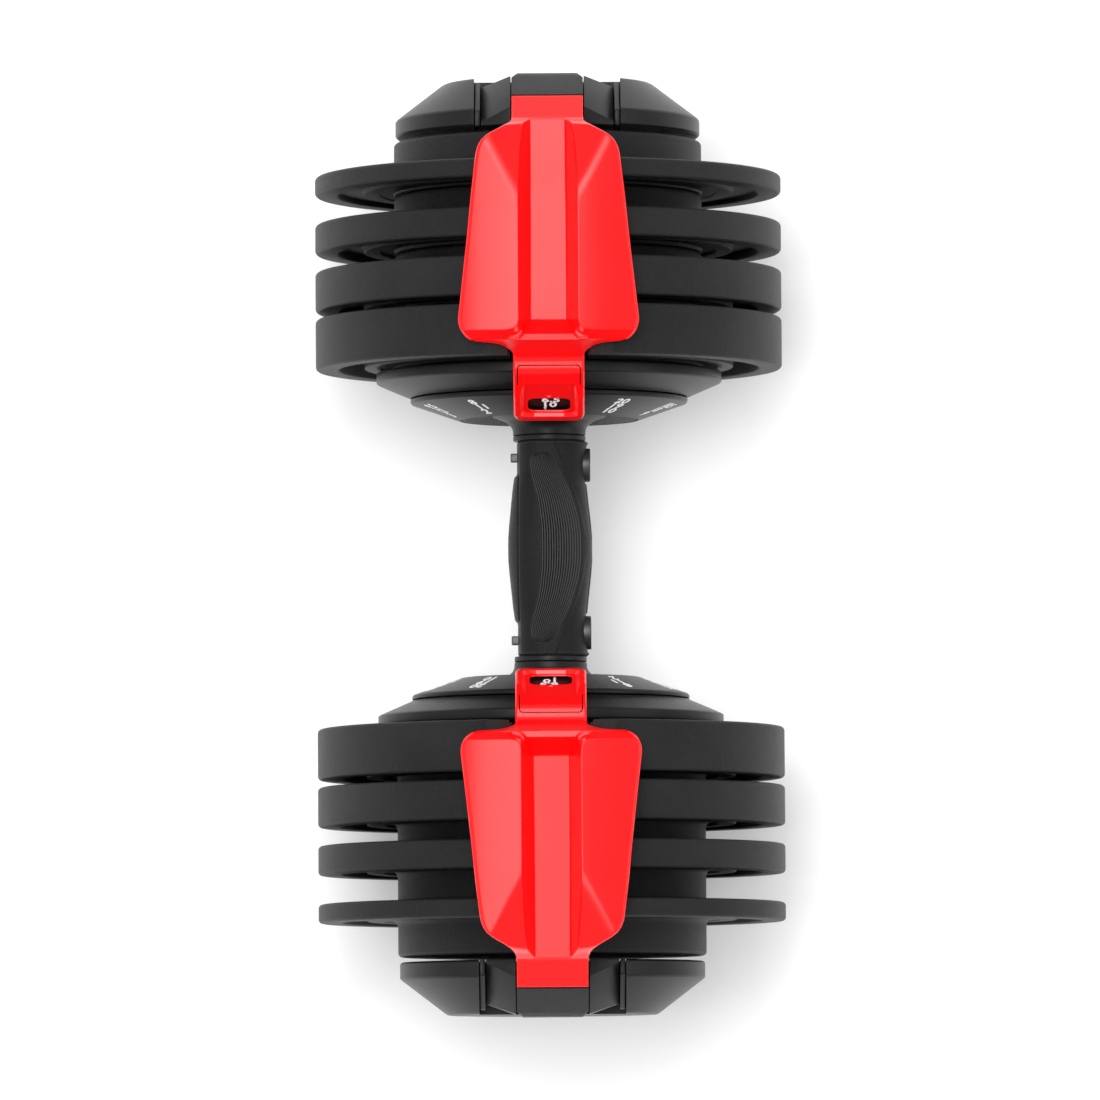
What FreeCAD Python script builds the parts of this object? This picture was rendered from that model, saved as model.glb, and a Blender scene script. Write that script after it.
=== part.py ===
import FreeCAD, Part
import math
import os

# Adjustable dumbbell.
# X runs along the handle, Y across it, Z up.  The origin is on the floor
# under the middle of the handle.  Everything is drawn about the handle axis
# and lifted by AXIS_H when it is exported.
# The right head (+X) is drawn; the left head is the same head turned half a
# turn about the vertical, except the release buttons, which are mirrored.

V = FreeCAD.Vector
os.makedirs("parts", exist_ok=True)

# ---------------------------------------------------------------- sizes (mm)
PLATE_R = 100.0            # outer radius of every plate
AXIS_H = 95.0              # handle axis above the floor: plates have a flat
PITCH = 25.0               # plate to plate
PLATE_X0 = [77.0, 102.0, 127.0, 152.0]      # handle-side face of each plate
PLATE_RIM = [21.7, 17.0, 12.5, 8.0]         # rim thickness of each plate
PLATE_WEB = [9.0, 8.0, 5.5, 3.4]            # what is left between the grooves
PLATE_GAP = 0.4            # play between one plate's hub drum and the next
EDGE_R = 1.6               # rounding of the rim
HUB_R = 66.0               # hub drum of a plate
RING_R = (72.0, 79.0)      # raised ring on the plate's faces
LIP_R = 90.0               # inner edge of the rim's lip
SLOT_HALF = 16.5           # slot through the plate, open at the top
SLOT_BOTTOM = 13.9         # slot bottom below the axis
POCKET_R = 27.0            # selector pocket, on the handle side (far side in plate 1)
POCKET_D = 9.0
MOUTH_R = 12.0             # rounded mouth of plate 1's slot
TAB_W, TAB_TOP, TAB_LOW = 6.0, -16.6, -20.0  # lifting tab under the slot

AXLE_R = 10.0
AXLE_END = 190.0
RUN = 0.05                 # running clearance, radial
SLEEVE_R = 13.5
SLEEVE_X = (64.6, 175.5)
DISC_R = 25.0
DISC_RING_R = 21.0
DISC_WEB = (1.0, 3.5)      # measured from the plate's handle-side face
DISC_RING = (3.5, 8.0)
CLICKS = 10
CLICK = 360.0 / CLICKS
# which plates (1 is next to the handle) each setting lifts, lowest first
CODE = [(), (4,), (3,), (2,), (2, 4), (2, 3), (1, 2), (1, 2, 4), (1, 2, 3), (1, 2, 3, 4)]

GRIP_HALF = 46.0
CORE_R = 13.4
BTN_X, BTN_R = 36.0, 7.2   # release button
BTN_FACE, BTN_BACK = -17.5, -13.6
BTN_TRAVEL = 2.5
PIN_X, PIN_W = 39.2, 3.8   # its cross pin
PIN_TIP = 16.7

FLANGE_R = 74.0
DIAL_R = 59.4
CAP_R = 65.3
CAP_X = 177.0
CAP_END = 199.6
NECK_HALF = 15.1           # neck and tail of the red bridge
WING_TOP = 111.3

SCREW_R = 3.95


# ---------------------------------------------------------------- helpers
def wire_xz(points):
    vs = [V(x, 0, z) for x, z in points]
    return Part.makePolygon(vs + [vs[0]])


def rounded(points):
    """Closed wire in the XZ plane; a point is (x, z) or (x, z, radius)."""
    n = len(points)
    edges, ends = [], []
    for i in range(n):
        p = points[i]
        a, b = points[i - 1], points[(i + 1) % n]
        P, A, B = V(p[0], 0, p[1]), V(a[0], 0, a[1]), V(b[0], 0, b[1])
        r = p[2] if len(p) > 2 else 0.0
        if r <= 0:
            ends.append((P, P, None))
            continue
        u, w = (A - P).normalize(), (B - P).normalize()
        half = math.acos(max(-1.0, min(1.0, u.dot(w)))) / 2
        t = r / math.tan(half)
        s, e = P + u * t, P + w * t
        mid = (u + w).normalize()
        m = P + mid * (r / math.sin(half) - r)
        ends.append((s, e, m))
    for i in range(n):
        s, e, m = ends[i]
        if m is not None:
            edges.append(Part.Arc(s, m, e).toShape())
        nxt = ends[(i + 1) % n][0]
        if (nxt - e).Length > 1e-6:
            edges.append(Part.LineSegment(e, nxt).toShape())
    return Part.Wire(edges)


def turned(points):
    """Solid of revolution about X from (x, radius[, fillet]) points."""
    face = Part.Face(rounded(points))
    return face.revolve(V(0, 0, 0), V(1, 0, 0), 360)


def cyl(r, x0, x1, y=0.0, z=0.0):
    return Part.makeCylinder(r, x1 - x0, V(x0, y, z), V(1, 0, 0))


def cyl_y(r, y0, y1, x, z=0.0):
    return Part.makeCylinder(r, y1 - y0, V(x, y0, z), V(0, 1, 0))


def box(x0, x1, y0, y1, z0, z1):
    return Part.makeBox(x1 - x0, y1 - y0, z1 - z0, V(x0, y0, z0))


def slab_xy(points, z0, z1):
    vs = [V(x, y, z0) for x, y in points]
    face = Part.Face(Part.makePolygon(vs + [vs[0]]))
    return face.extrude(V(0, 0, z1 - z0))


def slab_xz(points, y0, y1):
    vs = [V(x, y0, z) for x, z in points]
    face = Part.Face(Part.makePolygon(vs + [vs[0]]))
    return face.extrude(V(0, y1 - y0, 0))


def slab_yz(points, x0, x1):
    vs = [V(x0, y, z) for y, z in points]
    face = Part.Face(Part.makePolygon(vs + [vs[0]]))
    return face.extrude(V(x1 - x0, 0, 0))


def both_sides(points):
    """Outline for +Y, mirrored to a closed outline about the X axis."""
    return points + [(x, -y) for x, y in reversed(points)]


def half_turn(shape):
    s = shape.copy()
    s.rotate(V(0, 0, 0), V(0, 0, 1), 180)
    return s


def mirrored(shape):
    return shape.mirror(V(0, 0, 0), V(1, 0, 0))


NODES = {}


def add(name, shape):
    shape = shape.removeSplitter() if len(shape.Solids) == 1 else shape
    solids = shape.Solids
    out = solids[0] if len(solids) == 1 else Part.makeCompound(solids)
    NODES[name] = out.copy()


# ---------------------------------------------------------------- plates
def plate(i):
    x0, t, web = PLATE_X0[i], PLATE_RIM[i], PLATE_WEB[i]
    x1 = x0 + t
    end = x0 + PITCH - PLATE_GAP if i < 3 else 174.6
    mid = (x0 + x1) / 2
    g0, g1 = mid - web / 2, mid + web / 2
    ring0, ring1 = x0 + 0.6, x1 - 0.6
    step = 1.6 if t > 9 else 1.0
    prof = [
        (x0, 0), (x0, HUB_R), (x0 + step, HUB_R), (x0 + step, RING_R[0]),
        (ring0, RING_R[0]), (ring0, RING_R[1] - 0.4), (ring0 + 0.4, RING_R[1]), (g0, RING_R[1]),
        (g0, LIP_R), (x0 + 0.4, LIP_R), (x0, LIP_R + 0.4), (x0, PLATE_R, EDGE_R),
        (x1, PLATE_R, EDGE_R), (x1, LIP_R + 0.4), (x1 - 0.4, LIP_R), (g1, LIP_R),
        (g1, RING_R[1]), (ring1 - 0.4, RING_R[1]), (ring1, RING_R[1] - 0.4), (ring1, RING_R[0]),
        (x1 - step, RING_R[0]), (x1 - step, HUB_R + 0.01, 2.5 if end - x1 > 4 else 1.0),
        (end, HUB_R, 1.6), (end, 0),
    ]
    body = turned(prof)
    # slot for the axle and sleeve, open at the top
    zc = SLOT_HALF - SLOT_BOTTOM
    slot = cyl(SLOT_HALF, x0 - 1, end + 1, 0, zc)
    slot = slot.fuse(box(x0 - 1, end + 1, -SLOT_HALF, SLOT_HALF, zc, PLATE_R + 5))
    # pocket for the selector disc, open at the top
    p0, p1 = (x0 - 1, x0 + POCKET_D) if i else (end - POCKET_D, end + 1)
    pocket = cyl(POCKET_R, p0, p1).fuse(box(p0, p1, -POCKET_R, POCKET_R, 0, PLATE_R + 5))
    cutter = slot.fuse(pocket)
    if i == 0:
        # the slot that shows beside the bridge has a rounded mouth
        half = SLOT_HALF + MOUTH_R
        mouth = box(x0 - 1, p0 + 1, -half, half, 83.9, PLATE_R + 8)
        for y in (-half, half):
            mouth = mouth.cut(cyl(MOUTH_R, x0 - 2, p0 + 2, y, 83.9))
        cutter = cutter.fuse(mouth)
    body = body.cut(cutter)
    # flat to stand on
    body = body.cut(box(x0 - 5, end + 5, -60, 60, -PLATE_R - 5, -AXIS_H))
    # lifting tab, in from the pocket's floor
    t0, t1 = x0 + DISC_RING[0] + 0.6, x0 + POCKET_D + 0.5
    if i == 0:
        t0, t1 = x0 + end - t1, x0 + end - t0
    tab = box(t0, t1, -TAB_W / 2, TAB_W / 2, TAB_LOW, TAB_TOP)
    return body.fuse(tab)


for i in range(4):
    p = plate(i)
    add("plate_right_%d" % (i + 1), p)
    add("plate_left_%d" % (i + 1), half_turn(p))


# ---------------------------------------------------------------- selector
def disc(i):
    x0 = PLATE_X0[i]
    web = cyl(DISC_R, x0 + DISC_WEB[0], x0 + DISC_WEB[1])
    hub = cyl(SLEEVE_R + 2.5, x0 + DISC_WEB[0], x0 + DISC_RING[1])
    hub = hub.fuse(web)
    ring = cyl(DISC_R, x0 + DISC_WEB[1] - 0.5, x0 + DISC_RING[1]).cut(
        cyl(DISC_RING_R, x0 - 1, x0 + 12))
    # the ring is left out opposite every setting that leaves the plate behind
    for k in range(CLICKS):
        if (i + 1) in CODE[k]:
            continue
        turn = (CLICK * (CLICKS - k)) % 360 + 180
        half = CLICK / 2 + 0.4
        wedge = Part.makeCylinder(DISC_R + 3, 12, V(0, 0, 0), V(0, 0, 1), 2 * half)
        # wedge starts on +X of its own circle; turn it so that it is centred
        # on +Z and lies along the X axis
        wedge.rotate(V(0, 0, 0), V(0, 0, 1), -half)
        wedge.rotate(V(0, 0, 0), V(0, 1, 0), -90)
        wedge.translate(V(x0 + DISC_WEB[1] + 12, 0, 0))
        wedge.rotate(V(0, 0, 0), V(1, 0, 0), turn)
        ring = ring.cut(wedge)
    if ring.Solids:
        hub = hub.fuse(ring)
    # square-cornered keyway at the number side
    hub = hub.cut(cyl(SLEEVE_R + 0.02, x0 - 1, x0 + 12))
    if i == 0:
        # plate 1 has its pocket on the far side
        hub = hub.mirror(V(x0 + (PITCH - PLATE_GAP) / 2, 0, 0), V(1, 0, 0))
    return hub


for i in range(4):
    d = disc(i)
    add("selector_disc_right_%d" % (i + 1), d)
    add("selector_disc_left_%d" % (i + 1), half_turn(d))

sleeve = cyl(SLEEVE_R, *SLEEVE_X).cut(cyl(AXLE_R + RUN, 60, 180))
add("selector_sleeve_right", sleeve)
add("selector_sleeve_left", half_turn(sleeve))

dial = turned([
    (57.6, AXLE_R + RUN), (57.6, 25.0), (59.2, 25.3), (59.2, 33.4), (55.6, 37.4), (55.3, 38.2),
    (62.4, 58.8, 0.5), (63.2, DIAL_R, 0.3), (64.5, DIAL_R, 0.4), (64.5, AXLE_R + RUN)])
add("selector_dial_right", dial)
add("selector_dial_left", half_turn(dial))

# ---------------------------------------------------------------- axle, core, grip
pin_hole = lambda r: cyl_y(r, -40, 40, PIN_X).fuse(cyl_y(r, -40, 40, -PIN_X))
spring_bore = cyl_y(4.3, -40, -4.0, PIN_X).fuse(cyl_y(4.3, -40, -4.0, -PIN_X))
axle = cyl(AXLE_R, -AXLE_END, AXLE_END)
axle = axle.cut(pin_hole(3.0)).cut(spring_bore)
axle = axle.cut(cyl(4.0, AXLE_END - 24, AXLE_END + 1)).cut(cyl(4.0, -AXLE_END - 1, -AXLE_END + 24))
add("axle", axle)

recess = cyl_y(BTN_R + 0.35, -40, -10.6, BTN_X).fuse(cyl_y(BTN_R + 0.35, -40, -10.6, -BTN_X))
core = cyl(CORE_R, -GRIP_HALF, GRIP_HALF).cut(cyl(AXLE_R + 0.02, -50, 50))
core = core.cut(pin_hole(3.0)).cut(spring_bore).cut(recess)
add("handle_core", core)


def oval(x, yc, ry, rz):
    e = Part.Ellipse(V(x, yc + ry, 0), V(x, yc, rz), V(x, yc, 0)) if ry >= rz else \
        Part.Ellipse(V(x, yc, rz), V(x, yc + ry, 0), V(x, yc, 0))
    return Part.Wire([e.toShape()])


stations = [(-46.0, -1.3, 15.2, 15.6), (-36, -1.3, 15.3, 16.0), (-27, -0.1, 15.8, 16.2), (-14, -0.1, 17.2, 17.4),
            (0, -0.1, 18.0, 18.2), (14, -0.1, 17.2, 17.4), (27, -0.1, 15.8, 16.2), (36, -1.3, 15.3, 16.0),
            (46.0, -1.3, 15.2, 15.6)]
grip = Part.makeLoft([oval(*s) for s in stations], True, False)
grip = grip.cut(cyl(CORE_R + 0.02, -50, 50)).cut(pin_hole(3.0)).cut(recess)
add("grip", grip)

# ---------------------------------------------------------------- release buttons
button = cyl_y(BTN_R, BTN_FACE, BTN_BACK, BTN_X)
button = button.makeFillet(0.5, [e for e in button.Edges if abs(e.BoundBox.YMin - BTN_FACE) < 0.01 and abs(e.BoundBox.YMax - BTN_FACE) < 0.01])
pin = box(PIN_X - PIN_W / 2, PIN_X + PIN_W / 2, BTN_BACK - 1.5, PIN_TIP, -PIN_W / 2, PIN_W / 2)
button = button.fuse(pin)
add("release_button_right", button)
add("release_button_left", mirrored(button))
spring = cyl_y(3.95, BTN_BACK, -4.0, PIN_X).cut(cyl_y(3.05, -40, 40, PIN_X))
add("button_spring_right", spring)
add("button_spring_left", mirrored(spring))

# ---------------------------------------------------------------- hub collar, flange
collar = turned([
    (46.2, AXLE_R + 0.02), (46.2, 15.5, 0.3), (48.4, 15.5), (48.6, 15.1), (48.8, 15.5),
    (52.0, 15.7, 3), (54.6, 18.4, 4), (56.4, 23.9, 1), (57.2, 24.3), (57.2, AXLE_R + 0.02)])
add("hub_collar_right", collar)
add("hub_collar_left", half_turn(collar))

flange = turned([
    (65.0, SLEEVE_R + RUN), (65.0, DIAL_R), (71.2, FLANGE_R - 0.6, 0.6), (72.0, FLANGE_R, 0.4),
    (76.0, FLANGE_R, 1.2), (76.0, SLEEVE_R + RUN)])
# shallow seat for the bridge's neck
flange = flange.cut(box(60, 80, -NECK_HALF - 0.05, NECK_HALF + 0.05, 73.2, 80))
screw_y = 8.0
screw_z = 58.0
for y in (-screw_y, screw_y):
    flange = flange.cut(cyl(1.95, 67.0, 77.0, y, screw_z))
add("inner_flange_right", flange)
add("inner_flange_left", half_turn(flange))

# ---------------------------------------------------------------- end cap
cap = turned([(CAP_X, 0), (CAP_X, CAP_R - 0.8), (CAP_X + 0.8, CAP_R), (183.6, CAP_R), (184.5, CAP_R - 0.65),
              (CAP_END - 0.7, 45.9), (CAP_END, 44.6), (CAP_END, 0)])
BAND = 31.2
cap = cap.cut(box(170, 210, -BAND, BAND, 15, 80))
# middle block: flat under the strap, then falling to the end
centre = slab_xz([(CAP_X, 14), (CAP_X, 62.0), (189.1, 62.0), (189.1, 65.0), (199.6, 45.2), (200.9, 41.5), (200.9, 14)], -15.2, 15.2)
centre = centre.common(slab_xy(both_sides([(CAP_X - 1, 15.2), (198.4, 15.2), (201.0, 12.6)]), 10.0, 70.0))
cap = cap.fuse(centre)
for s in (1, -1):
    # facet block: nearly level triangle, then one plane down to the slanted end
    a, b, c, d = V(184.5, s * 15.2, 64.3), V(178.5, s * 28.2, 58.6), V(200.0, s * 15.2, 41.0), V(195.5, s * 28.2, 33.4)
    n1 = (c - a).cross(d - a)
    if n1.z < 0:
        n1 = -n1
    top = Part.makeBox(200, 200, 60, V(-100, -100, 0))
    top.Placement = FreeCAD.Placement(a, FreeCAD.Rotation(V(0, 0, 1), n1))
    facet = slab_xy([(CAP_X, s * 15.6), (CAP_X, s * 28.2), (195.5, s * 28.2), (199.9, s * 15.6)], 14.0, 66.0)
    facet = facet.cut(slab_yz([(s * 14, 70), (s * 29, 70), (s * 29, 58.3), (s * 14, 64.8)], 170, 210)).cut(top)
    rib = slab_xz([(CAP_X, 14.0), (CAP_X, 57.0), (183.6, 57.0), (197.7, 32.0), (197.7, 14.0)], 28.6 if s > 0 else -30.8, 30.8 if s > 0 else -28.6)
    cap = cap.fuse(facet).fuse(rib)
# bore for the axle, screw hole with a counterbore, pocket for the bridge's tongue
cap = cap.cut(cyl(AXLE_R + 0.02, CAP_X - 1, AXLE_END + 0.2)).cut(cyl(4.3, 180, 205)).cut(cyl(8.2, 195.0, 205))
cap = cap.cut(box(180.0, 184.2, -10.1, 10.1, 44.8, 63))
add("end_cap_right", cap)
add("end_cap_left", half_turn(cap))

screw = cyl(SCREW_R, 168.0, 195.0).fuse(turned([(195.0, 0), (195.0, 7.6), (198.2, 7.6, 0.8), (199.0, 5.0), (199.0, 0)]))
hexa = [(3.2 * math.cos(math.radians(60 * k)), 3.2 * math.sin(math.radians(60 * k))) for k in range(6)]
screw = screw.cut(slab_yz(hexa, 196.2, 200))
add("axle_screws", Part.makeCompound([screw, half_turn(screw)]))

washer = cyl(17.0, 175.8, 176.95).cut(cyl(AXLE_R + 0.02, 170, 180))
add("thrust_washers", Part.makeCompound([washer, half_turn(washer)]))

# ---------------------------------------------------------------- bridge
neck = slab_xz([
    (52.6, 35.5), (54.0, 44.5), (60.6, 62.2), (63.4, 66.6), (70.4, 77.2), (77.6, 77.6), (82.6, 98.0), (84.9, 105.0),
    (94.0, 105.0), (94.0, 80.0), (79.6, 80.0), (79.6, 45.0), (76.2, 45.0), (76.2, 74.5), (71.4, 74.5), (65.0, 60.6),
    (62.9, 60.6), (61.6, 58.8), (56.7, 45.5), (54.7, 38.3), (54.4, 35.5)], -NECK_HALF, NECK_HALF)
# sloping recess that the window sits in
recess = slab_xz([(66.6, 71.5), (56.2, 45.0), (53.0, 43.6), (45.0, 43.6), (45.0, 71.5)], -10.8, 10.8)
# the tongue behind the flange is a little narrower
neck = neck.cut(box(76.05, 79.7, 14.0, 20, 40, 74.4)).cut(box(76.05, 79.7, -20, -14.0, 40, 74.4))
wing_half = [(82.4, 15.1), (83.2, 19.0), (84.1, 25.0), (84.4, 31.0), (85.6, 34.1), (88.3, 36.5), (91.5, 37.85), (93.4, 37.95),
             (96.6, 37.65), (168.0, 28.7), (172.0, 27.2), (174.6, 23.8), (176.0, 19.6), (178.2, 16.6), (181.0, 15.1)]
wings = slab_xy(both_sides(wing_half), 101.0, WING_TOP)
# the wings fall away towards the outer end
wings = wings.cut(slab_xz([(149, WING_TOP + 0.1), (182, 103.4), (190, 103.4), (190, 120), (149, 120)], -50, 50))
keel = box(80.0, 177.0, -NECK_HALF, NECK_HALF, 82.0, 101.5)
bridge = neck.fuse(keel).fuse(wings)
tail = slab_xz([(165, 82), (176.4, 82), (176.4, 62.2), (189.0, 62.2), (189.0, 67.2), (180.0, 99.5), (177.5, 103.0), (165, 103)],
               -NECK_HALF, NECK_HALF)
tail = tail.fuse(box(180.2, 184.0, -10.0, 10.0, 45.0, 62.5))
bridge = bridge.fuse(tail)
channel = slab_yz([(-13.5, 112), (-13.5, 106), (-8.0, 87.0), (8.0, 87.0), (13.5, 106), (13.5, 112)], 92.0, 176.4)
slope0 = slab_xz([(86.0, 112), (92.1, 87.0), (92.1, 112)], -8.0, 8.0)
slope1 = slab_xz([(176.3, 112), (176.3, 92.0), (182.5, 88.0), (190, 88), (190, 112)], -NECK_HALF - 1, NECK_HALF + 1)
bridge = bridge.cut(channel).cut(slope0).cut(slope1)
# window over the numbers
bridge = bridge.cut(recess)
win = box(40, 70, -9.0, 9.0, 48.6, 54.0)
win = win.fuse(box(40, 70, -5.7, 5.7, 45.3, 57.3))
for y in (-5.7, 5.7):
    for z in (48.6, 54.0):
        win = win.fuse(cyl(3.3, 40, 70, y, z))
bridge = bridge.cut(win)
# opening for the snap-in cover above the window
cover_cut = box(65.5, 73.4, -13.4, 13.4, 60.7, 82)
cover_cut = cover_cut.cut(slab_xz([(40, 20), (62.3, 60.8), (64.9, 60.8), (71.2, 74.9), (73.6, 75.6), (90, 75.6), (90, 20)], -20, 20))
bridge = bridge.cut(cover_cut)
cover = slab_xz([(65.6, 69.93), (70.4, 77.2), (73.3, 77.35), (73.3, 75.65), (71.2, 75.0), (65.6, 62.53)], -13.3, 13.3).cut(recess)
for y in (-screw_y, screw_y):
    bridge = bridge.cut(cyl(2.2, 75, 81, y, screw_z))
add("bridge_right", bridge)
add("bridge_left", half_turn(bridge))
add("window_cover_right", cover)
add("window_cover_left", half_turn(cover))

small = []
for y in (-screw_y, screw_y):
    s = cyl(1.9, 68.0, 79.65, y, screw_z).fuse(cyl(3.5, 79.65, 82.4, y, screw_z))
    small += [s, half_turn(s)]
add("bridge_screws", Part.makeCompound(small))

# ---------------------------------------------------------------- export
for name in sorted(NODES):
    shape = NODES[name]
    shape.translate(V(0, 0, AXIS_H))
    shape.exportStep("parts/%s.step" % name)
    b = shape.BoundBox
    print("%-26s solids %d valid %s vol %9.0f  x %7.1f %7.1f  y %6.1f %6.1f  z %6.1f %6.1f" % (
        name, len(shape.Solids), shape.isValid(), shape.Volume, b.XMin, b.XMax, b.YMin, b.YMax, b.ZMin, b.ZMax))
print(len(NODES), "nodes")
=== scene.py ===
import bpy, bmesh, math
import numpy as np
from mathutils import Vector, Matrix


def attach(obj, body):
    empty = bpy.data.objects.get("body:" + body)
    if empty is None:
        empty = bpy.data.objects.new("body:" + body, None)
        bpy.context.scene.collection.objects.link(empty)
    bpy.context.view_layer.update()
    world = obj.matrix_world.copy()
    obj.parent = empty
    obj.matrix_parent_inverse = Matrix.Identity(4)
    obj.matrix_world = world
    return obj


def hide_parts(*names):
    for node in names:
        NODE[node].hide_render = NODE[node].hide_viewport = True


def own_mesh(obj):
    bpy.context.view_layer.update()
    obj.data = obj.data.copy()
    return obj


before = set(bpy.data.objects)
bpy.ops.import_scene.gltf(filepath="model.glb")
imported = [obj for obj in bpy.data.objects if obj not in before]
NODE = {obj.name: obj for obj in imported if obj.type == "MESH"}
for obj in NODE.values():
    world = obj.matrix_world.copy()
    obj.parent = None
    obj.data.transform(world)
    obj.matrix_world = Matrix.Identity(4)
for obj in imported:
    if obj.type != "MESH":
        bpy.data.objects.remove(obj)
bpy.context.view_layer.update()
AXIS_H = 95.0            # handle axis above the floor, mm
scene = bpy.context.scene

# ------------------------------------------------------------------ materials
def _mat(name):
    m = bpy.data.materials.new(name)
    m.use_nodes = True
    nt = m.node_tree
    return m, nt, nt.nodes["Principled BSDF"]


def _coords(nt, scale=1.0):
    tc = nt.nodes.new("ShaderNodeTexCoord")
    return tc.outputs["Object"]


def _noise(nt, vec, scale, detail=2.0, rough=0.5):
    n = nt.nodes.new("ShaderNodeTexNoise")
    n.inputs["Scale"].default_value = scale
    n.inputs["Detail"].default_value = detail
    n.inputs["Roughness"].default_value = rough
    nt.links.new(vec, n.inputs["Vector"])
    return n.outputs["Fac"]


def _ramp(nt, fac, stops):
    r = nt.nodes.new("ShaderNodeValToRGB")
    els = r.color_ramp.elements
    while len(els) < len(stops):
        els.new(0.5)
    for e, (p, c) in zip(els, stops):
        e.position = p
        e.color = c if len(c) == 4 else (*c, 1)
    nt.links.new(fac, r.inputs["Fac"])
    return r.outputs["Color"]


def _bump(nt, height, strength, dist, normal=None):
    b = nt.nodes.new("ShaderNodeBump")
    b.inputs["Strength"].default_value = strength
    b.inputs["Distance"].default_value = dist
    nt.links.new(height, b.inputs["Height"])
    if normal is not None:
        nt.links.new(normal, b.inputs["Normal"])
    return b.outputs["Normal"]


def _grain_material(name, lo, hi, rough, grain, strength, dist, spec=0.5, pale_edges=0.0, coat=0.0, coat_rough=0.1, knee=(0.52, 0.60)):
    """Dark or coloured moulded/coated surface: slow colour drift, fine grain in colour, roughness and bump, and paler
    convex edges (pale_edges), which on the dial's and grip's ribs are a painted highlight.
    """
    m, nt, p = _mat(name)
    vec = _coords(nt)
    slow = _noise(nt, vec, 28.0, 3.0)
    fineN = _noise(nt, vec, grain, 2.0, 0.6)
    mix = nt.nodes.new("ShaderNodeMix"); mix.data_type = "FLOAT"
    mix.inputs["Factor"].default_value = 0.55
    nt.links.new(slow, mix.inputs["A"]); nt.links.new(fineN, mix.inputs["B"])
    col = _ramp(nt, mix.outputs["Result"], [(0.32, lo), (0.68, hi)])
    # paler convex edges found by pointiness; on the dial and grip ribs this paints the highlight the light would put
    # there
    if pale_edges > 0:
        geo = nt.nodes.new("ShaderNodeNewGeometry")
        edge = _ramp(nt, geo.outputs["Pointiness"], [(knee[0], (0, 0, 0)), (knee[1], (1, 1, 1))])
        mul = nt.nodes.new("ShaderNodeMath"); mul.operation = "MULTIPLY"
        mul.inputs[1].default_value = pale_edges
        nt.links.new(edge, mul.inputs[0])
        mx = nt.nodes.new("ShaderNodeMix"); mx.data_type = "RGBA"
        nt.links.new(mul.outputs[0], mx.inputs["Factor"])
        nt.links.new(col, mx.inputs["A"])
        mx.inputs["B"].default_value = (*[min(1, 2.6 * c + 0.02) for c in hi], 1)
        col = mx.outputs["Result"]
    nt.links.new(col, p.inputs["Base Color"])
    rr = nt.nodes.new("ShaderNodeMapRange")
    rr.inputs["From Min"].default_value = 0.3; rr.inputs["From Max"].default_value = 0.7
    rr.inputs["To Min"].default_value = rough - 0.05; rr.inputs["To Max"].default_value = rough + 0.06
    nt.links.new(fineN, rr.inputs["Value"])
    nt.links.new(rr.outputs["Result"], p.inputs["Roughness"])
    p.inputs["Specular IOR Level"].default_value = spec
    n1 = _bump(nt, fineN, strength, dist)
    nt.links.new(n1, p.inputs["Normal"])
    if coat:
        p.inputs["Coat Weight"].default_value = coat
        p.inputs["Coat Roughness"].default_value = coat_rough
    return m


def _gloss(name, lo, hi, rough):
    """Smooth moulded plastic: a very slow drift of colour and a little unevenness of the polish."""
    m, nt, p = _mat(name)
    vec = _coords(nt)
    slow = _noise(nt, vec, 14.0, 2.0)
    nt.links.new(_ramp(nt, slow, [(0.35, lo), (0.65, hi)]), p.inputs["Base Color"])
    rr = nt.nodes.new("ShaderNodeMapRange")
    rr.inputs["From Min"].default_value = 0.3; rr.inputs["From Max"].default_value = 0.7
    rr.inputs["To Min"].default_value = rough - 0.02; rr.inputs["To Max"].default_value = rough + 0.02
    nt.links.new(_noise(nt, vec, 35.0, 3.0), rr.inputs["Value"])
    nt.links.new(rr.outputs["Result"], p.inputs["Roughness"])
    at = nt.nodes.new("ShaderNodeAttribute"); at.attribute_name = "satin"
    sp = nt.nodes.new("ShaderNodeMapRange")
    sp.inputs["From Min"].default_value = 0.0; sp.inputs["From Max"].default_value = 1.0
    sp.inputs["To Min"].default_value = 0.21; sp.inputs["To Max"].default_value = 0.04
    nt.links.new(at.outputs["Fac"], sp.inputs["Value"])
    nt.links.new(sp.outputs["Result"], p.inputs["Specular IOR Level"])
    nt.links.new(_bump(nt, _noise(nt, vec, 500.0, 2.0), 0.06, 0.00002), p.inputs["Normal"])
    return m


M_PLATE = _grain_material("plate_powder_coat", (0.0030, 0.0030, 0.0031), (0.0130, 0.0130, 0.0135), 0.44, 1750.0, 1.0, 0.00060, 0.17, pale_edges=0.18)
M_SHELL = _grain_material("shell_satin_black", (0.0052, 0.0052, 0.0054), (0.0078, 0.0078, 0.0081), 0.36, 2000.0, 0.5, 0.00018, 0.17, pale_edges=0.12)
M_CAPTEX = _grain_material("cap_textured_black", (0.0030, 0.0030, 0.0031), (0.0120, 0.0120, 0.0125), 0.44, 1750.0, 1.0, 0.00055, 0.17)
# the dial's pale_edges paint highlights on the edges of its ribs
M_DIAL = _grain_material("dial_satin_black", (0.0040, 0.0040, 0.0042), (0.0060, 0.0060, 0.0063), 0.34, 2400.0, 0.25, 0.00010, 0.14, pale_edges=0.5)
# the grip's pale_edges paint highlights on the crests of its grooves
M_GRIP = _grain_material("grip_soft_rubber", (0.0030, 0.0030, 0.0031), (0.0075, 0.0075, 0.0078), 0.44, 1700.0, 0.9, 0.00034, 0.15, pale_edges=0.85, knee=(0.508, 0.535))
M_RED = _gloss("bridge_gloss_red", (0.90, 0.0040, 0.0055), (0.93, 0.0050, 0.0065), 0.20)
M_MARK = _grain_material("pale_print", (0.80, 0.80, 0.80), (0.88, 0.88, 0.88), 0.45, 2500.0, 0.1, 0.00004)
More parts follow.
